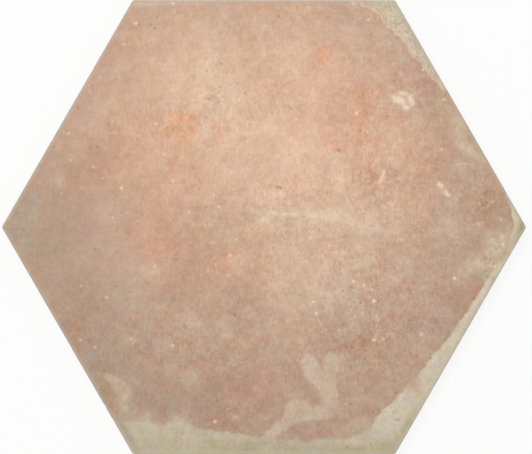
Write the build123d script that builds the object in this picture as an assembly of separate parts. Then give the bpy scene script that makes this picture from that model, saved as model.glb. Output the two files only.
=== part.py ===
from build123d import *
import math
import os

# Hexagon floor tile: one pressed and fired piece of stoneware, in millimetres.
# It lies face up, with the middle of its bed face at the origin and two corners on the X axis.

# Pressed body
across_flats = 240.0        # between two opposite sides
thickness = 10.0            # from the bed face to the walking face
corner_radius = 1.8         # the six upright corners, seen from above
arris_radius = 0.9          # rounded edge between the walking face and the sides
land_height = 4.0           # upright part of each side, below the arris
side_draft = 0.6            # how far a side draws in below its land, so that it leaves the die
foot_chamfer = 1.5          # slanted edge round the bed face

# Honeycomb key pressed into the back, which the adhesive grips
key_pitch = 19.5            # from one pocket to the next
key_rib = 2.8               # flat rib between two pockets, at the bed face
key_depth = 0.9             # how deep a pocket is
key_draft = 35.0            # degrees that a pocket's walls lean
key_rim = 8.0               # least width of the plain rim round the honeycomb

# Worn margins, where the red skin has gone from the face
worn_depth = 0.4            # how far a worn margin lies below the skin
cutter_overrun = 6.0        # how far a margin's cutter reaches past the sides

# Each point of a margin's inner line is a side, how far along it the point lies, and how far in.
# A side runs anticlockwise, as seen from above. The distance along it is counted from its first
# corner, or where it is negative, back from its last corner. Both lines run clockwise.
SIDE_NAMES = ["upper right", "top", "upper left", "lower left", "bottom", "lower right"]
TOP_RIGHT_LINE = [
    ("top", 19.4, 0.0),
    ("top", 11.1, 7.0),
    ("upper right", -9.7, 10.2),
    ("upper right", -24.9, 8.2),
    ("upper right", -40.2, 4.0),
    ("upper right", -55.4, 0.0),
]
LOWER_RIGHT_LINE = [
    ("upper right", 20.8, 0.0),
    ("upper right", 9.7, 3.4),
    ("lower right", -5.5, 5.4),
    ("lower right", -11.8, 13.2),
    ("lower right", -18.0, 12.0),
    ("lower right", -26.3, 5.2),
    ("lower right", -52.7, 4.4),
    ("lower right", 67.9, 6.2),
    ("lower right", 55.4, 8.8),
    ("lower right", 46.4, 7.6),
    ("lower right", 33.3, 13.0),
    ("lower right", 13.9, 18.4),
    ("bottom", -16.6, 13.2),
    ("bottom", -33.3, 8.8),
    ("bottom", -52.7, 7.1),
    ("bottom", 56.8, 10.8),
    ("bottom", 31.9, 16.2),
    ("bottom", 24.2, 23.0),
    ("bottom", 18.0, 18.0),
    ("lower left", -15.2, 17.8),
    ("lower left", -22.2, 0.0),
]

# What follows from those sizes
to_reach = 1 / math.cos(math.pi / 6)        # from a hexagon's half width to its corner
half_width = across_flats / 2
pocket_reach = (key_pitch - key_rib) / 2 * to_reach
key_row = key_pitch / to_reach              # from one row of pockets to the next


def corner(number, outset=0.0):
    """A corner of the plan, or of the plan grown by an outset."""
    angle = math.radians(60 * number)
    reach = (half_width + outset) * to_reach
    return Vector(reach * math.cos(angle), reach * math.sin(angle))


def from_side(side, along, inset):
    """The point so far along a named side, moved in from the side by the inset."""
    number = SIDE_NAMES.index(side)
    first, last = corner(number), corner(number + 1)
    direction = (last - first).normalized()
    on_side = (last if along < 0 else first) + direction * along
    facing = math.radians(60 * number + 30)
    return on_side - Vector(math.cos(facing), math.sin(facing)) * inset


def outline(height, inset):
    """The tile's outline with its rounded corners, drawn in by the inset, at a height."""
    with BuildSketch(Plane.XY.offset(height)) as section:
        RegularPolygon((half_width - inset) * to_reach, 6)
        fillet(vertices(), radius=corner_radius)
    return section.sketch


def pressed_body():
    """The hexagon as it leaves the die: slanted foot, drawn-in side, upright land, round arris."""
    below_land = thickness - arris_radius - land_height
    levels = [(0, side_draft + foot_chamfer), (foot_chamfer, side_draft), (below_land, 0)]
    foot = loft([outline(height, inset) for height, inset in levels], ruled=True)
    land = extrude(outline(below_land, 0), amount=thickness - below_land)
    body = foot + land
    walking_face = body.faces().sort_by(Axis.Z)[-1]
    return fillet(walking_face.edges(), radius=arris_radius)


def key_centres():
    """Centres of the pockets: every ring of the honeycomb that leaves the rim its width."""
    rings = int((half_width - key_rim - pocket_reach) / key_row)
    centres = []
    for i in range(-rings, rings + 1):
        for j in range(-rings, rings + 1):
            if abs(i + j) <= rings:
                centres.append((key_pitch * (i + j / 2), key_row * j))
    return centres


def key_pockets():
    """Cutters of the honeycomb's pockets, with their leaning walls."""
    with BuildPart() as pockets:
        with BuildSketch():
            with Locations(*key_centres()):
                RegularPolygon(pocket_reach, 6, rotation=30)
        extrude(amount=key_depth, taper=key_draft)
    return pockets.part


def worn_margin(line):
    """Cutter of a worn margin: from its inner line out past the sides, down to the worn face."""
    inner = [from_side(*point) for point in line]
    first_side, first_along = line[0][:2]
    last_side, last_along = line[-1][:2]
    past_start = from_side(first_side, first_along, -cutter_overrun)
    past_end = from_side(last_side, last_along, -cutter_overrun)
    last_number = SIDE_NAMES.index(last_side)
    corners_passed = (SIDE_NAMES.index(first_side) - last_number) % 6
    past_corners = [corner(last_number + 1 + n, cutter_overrun) for n in range(corners_passed)]
    with BuildPart() as margin:
        with BuildSketch(Plane.XY.offset(thickness - worn_depth)):
            with BuildLine():
                Spline(*inner)
                Polyline(inner[-1], past_end, *past_corners, past_start, inner[0])
            make_face()
        extrude(amount=2 * worn_depth)
    return margin.part


tile = pressed_body() - key_pockets()
for line in (TOP_RIGHT_LINE, LOWER_RIGHT_LINE):
    tile = tile - worn_margin(line)

os.makedirs("parts", exist_ok=True)
export_step(tile, "parts/hexagon_tile.step")
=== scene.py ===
# %% [markdown]
# # A hexagon floor tile in old terracotta look
# The real tile is one piece of stoneware. It was pressed face up in a steel die, coloured on its face
# and fired once. The red skin of the face has gone along some of its margins, where the sandy body
# shows. This lesson makes its face, sides and back as one closed mesh, then its clay finishes.
# The frame comes first: it is the measured solid that the mesh has to match.

# %% The measured frame
import math

import bmesh
import bpy
import numpy as np
from mathutils import Matrix, Vector, noise


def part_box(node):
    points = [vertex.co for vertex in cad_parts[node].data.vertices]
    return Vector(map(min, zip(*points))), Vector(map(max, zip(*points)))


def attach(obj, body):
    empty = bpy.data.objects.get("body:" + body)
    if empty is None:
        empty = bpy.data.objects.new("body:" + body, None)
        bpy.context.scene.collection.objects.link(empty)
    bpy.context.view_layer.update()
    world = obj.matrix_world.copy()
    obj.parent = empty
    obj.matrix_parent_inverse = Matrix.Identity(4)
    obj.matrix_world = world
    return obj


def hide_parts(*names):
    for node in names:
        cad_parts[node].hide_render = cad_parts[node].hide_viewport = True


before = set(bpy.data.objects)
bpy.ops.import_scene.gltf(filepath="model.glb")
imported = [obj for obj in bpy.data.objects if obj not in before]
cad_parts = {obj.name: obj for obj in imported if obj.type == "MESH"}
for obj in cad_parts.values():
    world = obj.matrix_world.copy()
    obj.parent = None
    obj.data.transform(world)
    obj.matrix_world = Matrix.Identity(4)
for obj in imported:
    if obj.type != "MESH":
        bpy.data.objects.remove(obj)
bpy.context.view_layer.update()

# %% [markdown]
# ## Sizes
# A die maker gives a tile by its width across the flats, its thickness, and the small radii and slopes
# that let it leave the die. The two big sizes are read from the frame. The small ones are repeated here
# in millimetres, the unit in which a tile is drawn, and are turned into Blender's metres when used.

# %% Sizes of the pressed tile
MM = 0.001
TO_REACH = 1 / math.cos(math.pi / 6)        # from a hexagon's half width to its corner

tile_low, tile_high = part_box("hexagon_tile")
HALF_WIDTH = tile_high.y / MM
THICKNESS = tile_high.z / MM
CORNER_RADIUS = 1.8
ARRIS_RADIUS = 0.9
LAND_HEIGHT = 4.0
SIDE_DRAFT = 0.6
FOOT_CHAMFER = 1.5
BELOW_LAND = THICKNESS - ARRIS_RADIUS - LAND_HEIGHT

KEY_PITCH = 19.5
KEY_RIB = 2.8
KEY_DEPTH = 0.9
KEY_DRAFT = 35.0                            # degrees
KEY_LEAN = KEY_DEPTH * math.tan(math.radians(KEY_DRAFT))
KEY_RIM = 8.0
WORN_DEPTH = 0.4
print("tile", 2 * HALF_WIDTH, "mm across the flats and", round(THICKNESS, 2), "mm thick")

# %% [markdown]
# ## Camera
# The tile is seen from straight above, as on a copying stand, and fills the picture. A long lens keeps
# its sides out of sight. The distance follows from the tile's known width and the number of pixels that
# it covers, and a small sidestep puts its middle where the picture has it.

# %% Camera straight above the tile
PICTURE_WIDTH = 532
PICTURE_MIDDLE = (266.0, 227.0)
TILE_MIDDLE = (264.0, 227.15)       # pixels
TILE_SPAN = 525.2                   # pixels from the left corner to the right one
LENS = 120.0
SENSOR = 36.0

pixel = 2 * HALF_WIDTH * TO_REACH * MM / TILE_SPAN
camera_data = bpy.data.cameras.new("copy_stand")
camera_data.lens = LENS
camera_data.sensor_width = SENSOR
camera_data.clip_end = 20.0
camera = bpy.data.objects.new("copy_stand", camera_data)
camera.location = (
    (PICTURE_MIDDLE[0] - TILE_MIDDLE[0]) * pixel,
    (TILE_MIDDLE[1] - PICTURE_MIDDLE[1]) * pixel,
    THICKNESS * MM + LENS / SENSOR * PICTURE_WIDTH * pixel,
)
bpy.context.scene.collection.objects.link(camera)
bpy.context.scene.camera = camera
print("camera height", round(camera.location.z, 3), "m")

# %% [markdown]
# ## Where things are on the face
# No two tiles wear alike, so this one's marks are written down as a conservator would map them, in
# millimetres from the middle of the face, with X to the right and Y up. A worn area is a closed outline
# that runs on past the tile's side. Marks are grouped by what they are, because each kind has its own
# colour and its own relief.

# %% Outlines of the worn margins
TOP_RIGHT_MARGIN = [
    (50, 122), (52, 118.5), (56, 116), (60.5, 113.5), (63.5, 109.5), (65.5, 106), (69, 103), (72, 101),
    (76, 96), (79, 91), (83, 86.5), (87, 82), (90.5, 77.5), (94.5, 73), (96.5, 72), (112, 80), (85, 160),
]
LOWER_RIGHT_MARGIN = [
    (134, 26), (127, 20), (128.6, 14.5), (130, 10), (130.9, 6), (131.6, 1.5), (130.7, -3), (128.6, -6.2),
    (127.4, -10.3), (126, -15.1), (123.3, -18.8), (121, -22), (118.4, -26), (115.6, -31), (112.2, -36.3),
    (108.6, -41.8), (104.8, -48), (101, -53.4), (97.5, -58.5), (93.5, -62.5), (89.5, -67.5), (86, -71.5),
    (83, -75.5), (80, -79.5), (76.5, -82.5), (71, -88.5), (69, -91), (63, -96), (59.5, -100), (57, -104),
    (54.5, -107.5), (48, -108.5), (43.5, -111), (36, -110.4), (23.5, -113), (13.5, -112), (6, -111),
    (0.5, -110.5), (-4.5, -110), (-13, -109), (-25, -107), (-33, -106.5), (-37.5, -103.5), (-42, -100.5),
    (-45, -98.5), (-48, -100), (-50.5, -102), (-53, -103.6), (-57, -103.2), (-60, -99.5), (-62.5, -98),
    (-64, -101), (-70.5, -100), (-78.5, -101), (-86, -102), (-95, -170), (110, -170), (200, 20),
]
print("worn margins", len(TOP_RIGHT_MARGIN) + len(LOWER_RIGHT_MARGIN), "points")

# %% Outlines of the lime smears
LIME_SMEAR = [
    (21.5, -66.5), (19.5, -70), (19, -74.2), (20.5, -78.2), (23.5, -81.6), (27, -83.6), (29.2, -86),
    (29.6, -89), (30.7, -92.2), (28.8, -94.8), (25, -95), (22.5, -91.8), (19.5, -90.2), (14.5, -90.6),
    (10.8, -94), (11, -98), (9, -101), (5.6, -103.4), (2.4, -106.6), (-0.4, -109.8), (-3, -114),
    (5, -114.5), (7.4, -109.8), (11.4, -106.8), (15.8, -104.2), (19.8, -102.6), (24, -101.6),
    (29, -102.1), (34.6, -101.4), (38.6, -98), (40, -92.7), (39.2, -87.4), (38.6, -82.1), (38.8, -77.4),
    (40, -73.2), (39, -68), (35.4, -66), (31.8, -68), (30.9, -72.2), (31.3, -75.6), (30.9, -77.2),
    (30.6, -75), (29.9, -71.3), (26.8, -68.6), (24, -66.3),
]
LEFT_SMEAR = [
    (-85.3, -76.3), (-80, -77.9), (-74.7, -80.5), (-70.5, -84.2), (-69.5, -87.9), (-70, -91.6),
    (-72.6, -92.7), (-75.8, -90.1), (-79, -86.9), (-81.1, -83.7), (-83.7, -80),
]
print("lime smears", len(LIME_SMEAR) + len(LEFT_SMEAR), "points")

# %% [markdown]
# Soft zones have no outline. Each is a bell-shaped blob: its middle, its reach along and across, how far
# it is turned, and how strong it is. Together they give the slow change from the light middle to the
# darker rim, the orange blushes and ashy patches of the kiln, and the pale blooms of lime. Warmth is
# counted in steps of how far red lies over green on a screen, so a blush is positive and ash is negative,
# and straw in steps of green over blue. Other zones say where the face is busy or calm, where the skin is
# worn thin, feathered away or left standing, where lime is thick, and how far the bare body is stained.

# %% How light the skin is
# x, y, reach along, reach across, turn in degrees, strength
LIGHT_ZONES = [
    (8, 50, 88, 85, 0, 1.0), (-48, 82, 32, 28, 0, 0.28), (48, 60, 22, 22, 0, -0.14),
    (50, 100, 20, 16, 0, -0.1), (88, 75, 24, 16, -60, -0.13), (30, 9, 34, 16, 0, 0.2),
    (75, 10, 18, 12, 0, 0.15), (118, 14, 14, 14, 0, -0.2), (-32, 4, 16, 12, 0, -0.12),
    (27, -30, 26, 20, 0, 0.1), (-62, -28, 14, 16, 0, 0.16), (-40, -50, 24, 8, 0, 0.1),
    (16, -52, 24, 10, 0, 0.1), (105, -42, 20, 14, 60, -0.12), (-92, -60, 40, 16, -60, -0.1),
    (-30, -100, 50, 16, 0, -0.15), (-82, -91, 9, 5, -60, -0.45), (-124, -6, 15, 13, 0, -0.2),
    (-42, 56, 8, 6, 0, -0.26), (45, 61, 12, 10, 0, -0.12), (-18, -63, 16, 9, 0, 0.15),
    (-61, -46, 9, 8, 0, 0.13), (28, 42, 42, 12, 0, 0.1), (18, 85, 18, 18, 0, 0.1),
    (70, 57, 14, 10, 0, 0.1), (44, -46, 10, 10, 0, -0.16), (-109, -11, 10, 8, 0, -0.12),
    (-78, 80, 10, 10, 0, 0.1), (44, 111, 9, 6, 0, -0.22), (0, 41, 15, 8, 0, -0.13),
    (-44, 94, 9, 8, 0, -0.13), (61, 41, 9, 8, 0, 0.14), (96, 59, 8, 8, 0, 0.13), (26, 94, 9, 8, 0, 0.14),
    (103, -13, 6, 5, 0, -0.22), (-23.5, 60, 1.9, 1.6, 0, -0.32), (-30.4, 82.6, 1.2, 1.7, 0, -0.24),
    (-19.3, 52.5, 1.5, 1.9, 0, -0.35), (-35.6, 62, 1.1, 1.7, 0, -0.24), (-13.5, 54, 2, 2.2, 0, -0.2),
    (-9, 71.5, 1.4, 1.4, 0, -0.2), (115.5, -27, 3, 4.4, -30, -0.3), (118.5, -17.5, 3.4, 2.4, 0, -0.25),
    (111, -10, 5, 6, 0, -0.2), (-61, 24, 10, 8, 0, -0.14), (-26, 41.5, 8, 8, 0, 0.12),
    (0, 24, 12, 8, 0, -0.12), (9, -63, 10, 7, 0, -0.12), (-48.6, -96, 2.4, 6, 0, -0.1),
    (-96, 1, 9, 10, 0, -0.22), (-86, -54, 8, 8, 0, 0.15), (-25.6, -77, 6, 5, 0, 0.2),
    (-12.4, -80, 8, 5, 0, -0.15), (-126.5, -8, 9, 4, -60, 0.08), (-118, -2, 6, 6, 0, 0.08),
    (114.4, -16.6, 3, 3, 0, -0.12),
]
print(len(LIGHT_ZONES), "zones of light and shade")

# %% How far the skin leans to red
WARMTH_ZONES = [
    (-62, 28, 30, 34, 0, 7), (-55, -8, 12, 10, 0, 6), (-20, -22, 34, 15, -20, 5), (-75, 48, 14, 12, 0, 4),
    (52, 60, 16, 22, 0, 8.5), (80, 32, 24, 14, 0, 5), (-45, 105, 45, 16, 0, 2), (33, 92, 6, 10, 0, 6),
    (-8, -90, 18, 12, 0, 4), (120, 10, 12, 20, 0, 5), (108, -38, 8, 9, 0, 5), (46, -64, 6, 4, 20, 6),
    (-48, 57.5, 4, 2.6, 25, 10), (-41.5, 58, 4.5, 2.4, 0, 12), (-37.6, 54.5, 2.2, 4.6, 0, 12),
    (-38, 49.5, 2.6, 4, 0, 10), (-43, 53, 5, 5, 0, 12), (-49.5, 52, 2.5, 4, 0, 6),
    (-44, 46.5, 5, 4, 0, 8), (62, 74, 24, 24, 0, 2), (111, -10, 5, 6, 0, 4), (77, -101, 16, 2.4, 60, -5),
    (-48.6, -96, 2.4, 5, 0, -2), (33.5, 48, 2.2, 5, 25, 8), (36.5, 43, 2, 3.5, 25, 7),
    (39, 40.5, 2, 2, 0, 8), (31.5, 91, 2.5, 4, 30, 10), (30, 85, 3, 4, 0, 6), (51, 57, 4, 6, 0, 7),
    (50, 51, 3, 3, 0, 7), (-22, 50.5, 5, 2.6, 0, 8), (-19.3, 52.5, 2, 2, 0, 5), (-35.6, 62, 2, 2, 0, 5),
    (-23.5, 60, 2.4, 2, 0, -4), (-13.5, 54, 3, 3, 0, -4), (-40, -64.5, 3, 2.2, 0, 9),
    (-34, -71, 3, 2.5, 0, 6), (-39, -38, 3, 5, 0, 5), (-19, -20.5, 4, 4, 0, 5), (89.5, 18, 6, 2, -55, 6),
    (-78, 71, 5, 4, 0, 5), (-119.5, 24.5, 5, 3.5, 0, 6), (-101, -52, 6, 1.6, -60, 8),
    (-81, -89, 8, 3.5, -60, 10), (-26, -102, 4, 2, 0, 9), (58, -68, 4, 3, 60, 5),
    (14.5, -53.5, 7, 5, 0, 4), (2.4, -2.4, 4, 2.6, 0, 6), (-21, 70, 11, 11, 0, -7),
    (34, 4, 30, 14, 0, -4), (32, -34, 13, 12, 0, -3), (104, 52, 6, 9, 0, -6), (-122, 6, 14, 20, 0, -5),
    (-98, -34, 20, 24, 0, -5), (-78, -74, 20, 22, 0, -6), (-60, -50, 8, 6, 0, -3),
    (-49, -98, 3, 6, 0, -6), (20, -66, 46, 10, 0, -2), (80, -83, 4.5, 3, 45, 7), (91, 79, 3, 5, -60, 6),
    (0, -117, 40, 4, 0, -4), (16, -96, 10, 6, 0, -4), (137, -1, 6, 6, 0, -3), (-127.5, 8, 9, 4, 60, -6),
    (-126.5, -8, 9, 4, -60, -9), (-117, -2, 6, 6, 0, 3), (114.4, -16.6, 3, 3, 0, 4),
    (109, -19.5, 6, 5, 0, 2.5),
]
print(len(WARMTH_ZONES), "blushes and ashy patches")

# %% How far it leans to yellow
STRAW_ZONES = [
    (-80, -91, 10, 5, -60, 7), (127.6, -11.5, 1.9, 3.4, 0, 12), (122.4, -21.4, 2.6, 2.6, 0, 15),
    (0, -117, 60, 4, 0, 4), (-18, -116, 14, 3.5, 0, 4), (52, -118, 14, 3.5, 0, 6),
    (75.8, -90, 2.6, 4, 0, -8), (81.6, -89, 1.6, 3, -20, 10), (76.3, -97, 2.6, 2.6, 0, 7),
    (70.5, -110, 4, 3, 0, 8), (67, -118, 4, 3, 0, 5), (80, -83, 4.5, 2.6, 45, -5),
    (54.5, -107.5, 4, 3, 0, -8), (91, 79, 3, 6, -60, -7), (136, -1, 5, 5, 0, 5), (121, -10, 5, 7, 0, 7),
    (110, -21, 8, 6, 0, 1.5), (40.4, 4.5, 5, 4, 0, 3), (-20, 70, 16, 16, 0, 2), (-75, -10, 24, 34, 0, -2),
    (-43, 53, 7, 9, 0, 4), (77, -101, 16, 2.4, 60, 5), (-118, -4, 15, 15, 0, 4), (66, 108, 5, 8, -40, 3),
    (-72, -98, 6, 4, 0, 2), (-48.6, -97, 3, 5, 0, -2), (117.6, -33, 16, 1.8, 60, -4),
    (81, 96, 22, 2, -60, -4), (-60, -106, 3, 2, 0, -5), (-45, -112, 5, 3, 0, 5), (-66, -113, 4, 4, 0, 4),
    (25, -115, 8, 3, 0, -4), (4, -112, 5, 2, 0, -4), (-12.4, -80, 8, 5, 0, 3), (-126, 12, 9, 4, 60, -3),
]
print(len(STRAW_ZONES), "straw and blue patches")

# %% Busy places and blooms of lime
BUSY_ZONES = [
    (-25, 66, 18, 22, 0, 0.6), (10, 10, 16, 16, 0, 0.4), (61, 25, 14, 15, 0, 0.45),
    (55, -45, 30, 30, 0, 0.3), (-30, -62, 32, 14, 0, 0.3), (45, 10, 75, 100, 0, 0.42),
    (74, 66, 9, 8, 0, 0.3), (9, 40, 26, 16, 0, -0.3), (-105, 0, 30, 40, 0, -0.18),
    (-30, -100, 20, 6, 0, 0.3), (-55, 52, 12, 10, 0, 0.3), (114, 12, 10, 16, 0, 0.3),
]
BLOOMS = [
    (-22, 68, 14, 18, 0, 0.24), (28, -32, 20, 17, 0, 0.28), (24, 5, 22, 9, -6, 0.14),
    (60, 2, 18, 8, 0, 0.14), (72, -22, 12, 16, 0, 0.1), (74, 66.5, 7, 6, 0, 0.3),
    (-32.5, 69, 1.4, 2.4, 0, 0.6), (-19, 77.4, 3, 2, 0, 0.35), (-27, 81.6, 5, 1.3, 0, 0.3),
    (-17.2, 63, 1.5, 1.2, 0, 0.5), (-10.3, 66.3, 1.2, 1.6, 0, 0.4), (-31, 51, 3.4, 6, 0, 0.28),
    (-34, 50, 2.2, 10, 0, 0.15), (1.3, 4.4, 3.4, 2.2, 0, 0.6), (-1, 3, 5, 4, 0, 0.2),
    (11, 7, 10, 1.5, -4, 0.65), (28, 6, 12, 2, -8, 0.4), (46, 2.5, 8, 1.6, -14, 0.3),
    (58, 2.4, 6, 1.8, 0, 0.2), (34, 8, 4, 3, 0, 0.25), (26, -3, 3, 4, 0, 0.3), (100, -0.5, 6, 6, 0, 0.3),
    (102, 54, 4, 6, 0, 0.3), (104.5, 44, 3, 6, 40, 0.3), (108, 40, 2.6, 4, 50, 0.3),
    (-108, 24.5, 3, 3, 0, 0.3), (-59, -23, 5, 3, 0, 0.4), (-23, -50.5, 4, 2.4, 0, 0.3),
    (-19.5, -56, 3, 3, 0, 0.4), (-35, -50.5, 3.5, 3, 0, 0.25), (-70, -59.5, 3, 3.4, 30, 0.3),
    (-38, -79, 5, 5, 0, 0.25), (61, -4, 6, 4, 0, 0.25), (-66, 118, 14, 2, 0, 0.35),
    (-46, 118.5, 10, 1.6, 0, 0.2), (93.5, 57, 1.2, 4.5, 0, 0.25), (-15, -100.5, 1.6, 1.2, 0, 0.5),
    (48, -105, 10, 3, 25, 0.2), (94.8, 20, 3.2, 1.3, -50, 0.5),
]
print(len(BUSY_ZONES), "busy or calm places and", len(BLOOMS), "blooms")

# %% Skin worn thin, feathered away or left standing
WORN_THIN = [
    (123.2, -10.5, 9, 4.8, 62, 1.2), (119.5, -5.5, 4, 3.6, 0, 0.5), (111, -20.5, 6.5, 5, 35, 0.62),
    (106, -24.5, 5, 4, 40, 0.4), (116.5, -19.5, 4, 2, -20, 0.5), (-75, -94.5, 4.2, 6, 10, 0.7),
    (-69, -99, 7, 3, 0, 0.5), (-48.6, -97, 2.4, 5, 0, 0.25), (-49.4, -76, 3.6, 4.6, 0, 0.45),
    (-60.5, -97.5, 3, 3, 0, 0.3), (-72, -88, 2.6, 4, -30, 0.5), (54.5, -106.5, 4, 2.6, 20, 0.4),
    (-41, -99, 3, 4, -40, 0.35), (117, -25.8, 5, 2.4, 60, 0.8),
]
FEATHERED = [
    (-54, -101, 27, 9, 0, 2.2), (-82, -101, 12, 8, 0, 1.4), (30, -108, 24, 7, 0, 1.2),
    (50, -108, 8, 6, 0, 0.8), (124, -13, 9, 5, 62, 2.2), (75, -84, 8, 6, 50, 0.6),
    (57, 117, 8, 8, 0, 0.8),
]
SKIN_LEFT = [(79, -83.3, 4.8, 3, 45, 0.95), (82, -86.5, 2.5, 1.6, 60, 0.5), (-50, -102, 3, 4, 0, 0.3)]
print(len(WORN_THIN) + len(FEATHERED) + len(SKIN_LEFT), "places of wear")

# %% Thick lime and stained body
THICK_LIME = [
    (24, -74, 4, 8, 20, 0.5), (18, -95, 7, 4, 0, 0.15), (6, -107, 9, 4, 42, 0.35),
    (30, -98, 6, 4, 30, 0.3), (29, -87, 1.6, 5, 0, 0.35), (20, -102, 6, 1.6, 10, 0.35),
    (-80, -78, 5, 2, -30, 0.2), (35, -70, 4, 4, 0, 0.35), (-73, -86, 5, 6, 0, -0.08),
]
BODY_STAINS = [
    (0, -119, 70, 4.5, 0, 10), (62, -118, 14, 6, 0, 14), (-14, -115, 18, 5, 0, 8),
    (-10, -112, 100, 16, 0, 9), (70, -92, 26, 9, 60, -7), (82, 92, 30, 5, -60, -3),
    (77.5, -101, 16, 2, 60, 17), (-78, -103, 11, 5, 0, 6), (55, 119, 8, 4, 0, 12),
    (20, -116, 16, 5, 0, 8), (-74.8, -106, 16, 2.2, -60, 20), (-60, -115, 14, 6, 0, 5),
    (-72, -99.5, 6, 3, 0, 13), (-56, -101.5, 5, 2.2, 0, 9), (137, 0, 4, 4, 0, 20),
    (133.4, -6, 9, 2.4, 60, 26), (135.4, 5.2, 7, 1.5, -60, 20), (116, -34, 8, 3, 60, -15),
    (121, -27.5, 2, 1.4, 60, 22), (117.6, -33, 18, 1.8, 60, 2), (122, -11, 8, 5, 60, -1),
    (110, -21, 7, 5, 30, -2), (81, 96, 22, 2, -60, 7), (61, 111, 5, 5, 0, 6), (78, 94, 7, 5, -50, 4),
    (122.4, -21.4, 3, 3, 0, 2), (91, 79, 3, 6, -60, 8), (80.5, -89, 1.2, 1.2, 0, 12),
    (45, -117, 10, 3, 0, 8), (47, -114, 6, 1.6, 0, -8), (131.5, 6, 4, 2, -60, -7),
    (104, -53, 9, 3, 60, -5),
]
print(len(THICK_LIME) + len(BODY_STAINS), "patches of lime and stain")

# %% All soft zones by name
SOFT_ZONES = {
    "light": LIGHT_ZONES,
    "warmth": WARMTH_ZONES,
    "straw": STRAW_ZONES,
    "busy": BUSY_ZONES,
    "bloom": BLOOMS,
    "thin": WORN_THIN,
    "feathered": FEATHERED,
    "thick": THICK_LIME,
    "stain": BODY_STAINS,
    "skin_left": SKIN_LEFT,
}
print(sum(len(zones) for zones in SOFT_ZONES.values()), "soft zones")

# %% [markdown]
# The crushed grog in the clay shows as pale grains, and burnt-out specks leave dark pores. The ones that
# catch the eye are listed, with their radius in millimetres. Thousands more are left to a pattern. Dashes,
# cracks and strokes of chalk are straight marks, each listed with its two ends and its radius.

# %% Single grains and dashes
# x, y, radius, and for a straight mark x, y, end x, end y, radius
PALE_GRAINS = [
    (-67.5, 107.5, 1.0), (-48, 118, 0.7), (-74, 96.5, 0.6), (0, 106, 0.6), (47, 118.5, 0.9),
    (55, 109.5, 0.7), (-57, 54.5, 0.8), (-52.5, 38.5, 0.7), (-48, 24.5, 0.7), (-51, 31, 0.5),
    (-75, 20.5, 0.9), (-103, 49.5, 0.7), (-102, 35.5, 0.6), (-90, 32, 0.6), (-85.5, 26, 0.5),
    (-107, 18, 0.5), (-72, 7.5, 0.5), (-80, 5, 0.5), (-26.5, 17, 0.7), (-24, 11, 0.8), (-39.5, 8, 0.6),
    (-13, 67, 0.7), (17, 57, 0.8), (49, 60, 1.2), (93.5, 41, 0.7), (54.5, 50, 0.6), (36.5, 29.5, 0.5),
    (121, 13.5, 0.6), (125, 4, 0.6), (24.6, -5.5, 0.9), (73, -6.5, 0.7), (-27, -8, 0.6),
    (-14.5, -6.5, 0.7), (-18, -15, 0.7), (-25.5, -19.5, 0.5), (-18.5, -25.5, 0.6), (-57.5, -20.5, 0.7),
    (-83, -37, 0.8), (-96.5, -31, 0.5), (-97, -59.5, 0.6), (-89, -63.5, 0.6), (-70, -59, 0.6),
    (-48.5, -62.5, 0.9), (-26, -102.5, 1.0), (50.5, -25, 0.6), (47.5, -28.5, 0.8), (52.5, -30.5, 0.7),
    (57, -33, 0.6), (58, -39, 1.2), (26, -39.5, 0.9), (27.5, -45.5, 1.0), (48.5, -47, 0.6),
    (58, -59.5, 1.0), (63, -59, 0.7), (83, -56.5, 0.8), (100.5, -27, 1.0), (95, 67.5, 0.8),
    (126, -9, 0.9), (122, -21, 0.8), (84, 83, 0.8),
]
PALE_DASHES = [
    (63.5, 29.5, 61.2, 23.5, 0.8), (103, 33.5, 107, 33.5, 0.2),
]
print(len(PALE_GRAINS), "grains and", len(PALE_DASHES), "dashes")

# %% Pores, cracks and chalk strokes
DARK_PORES = [
    (-56.5, 111, 0.5), (-60, 107, 0.7), (-57.5, 105, 0.8), (7.5, 111.5, 0.7), (-91.5, 41.5, 0.6),
    (-88, 42, 0.6), (-29, 67.6, 0.9), (-26.3, 68.4, 0.5), (-30.4, 82.4, 0.5), (7, 21, 1.0),
    (8.8, 20.6, 0.9), (-9.5, 12, 0.5), (-30.5, 10.5, 0.5), (-67.5, 8, 0.6), (-36.5, 26.5, 0.5),
    (-37, 31, 0.5), (-89, -11.5, 0.6), (-44.5, -3, 0.5), (-47, -11, 0.5), (-42.5, -29, 0.5),
    (2, -15.5, 0.5), (-15.5, -46.5, 0.7), (-84, -75.5, 0.6), (-24.5, -91.5, 0.8), (-22, -91, 0.6),
    (-18, -97, 0.7), (-20.5, -103, 0.8), (51, -40, 0.6), (68.5, -25, 0.5), (84.5, -41.5, 0.6),
    (104.5, -33.5, 0.5), (53, 7, 0.5), (43.5, -63, 0.9), (46.5, -63.5, 0.9), (67, -95, 0.5),
    (77.5, -76, 0.4), (80.5, -68, 0.5), (50.5, 51, 1.0), (39.5, 40.5, 1.0),
]
DARK_CRACKS = [
    (-82, 55, -81.5, 51.5, 0.35), (-81.5, 51.5, -79.8, 50.8, 0.3), (68.3, -97.5, 70.2, -97.3, 0.45),
    (69.5, -101.7, 71.5, -101.6, 0.45),
]
CHALK_STROKES = [
    (70.9, 67.4, 72.8, 66.2, 1.3), (71.8, 68.2, 73.4, 67.2, 0.6), (68.3, 69.2, 69.2, 66.4, 0.5),
    (71.2, 70.8, 75, 70.4, 0.4), (77, 68.4, 78.2, 65.4, 0.9), (74, 63.7, 76.2, 63.1, 0.7),
    (92.3, 22.7, 93.3, 21.9, 0.7), (95.8, 18.4, 97.4, 16.8, 0.45),
]
print(len(DARK_PORES), "pores,", len(DARK_CRACKS), "cracks and", len(CHALK_STROKES), "chalk strokes")

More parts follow.
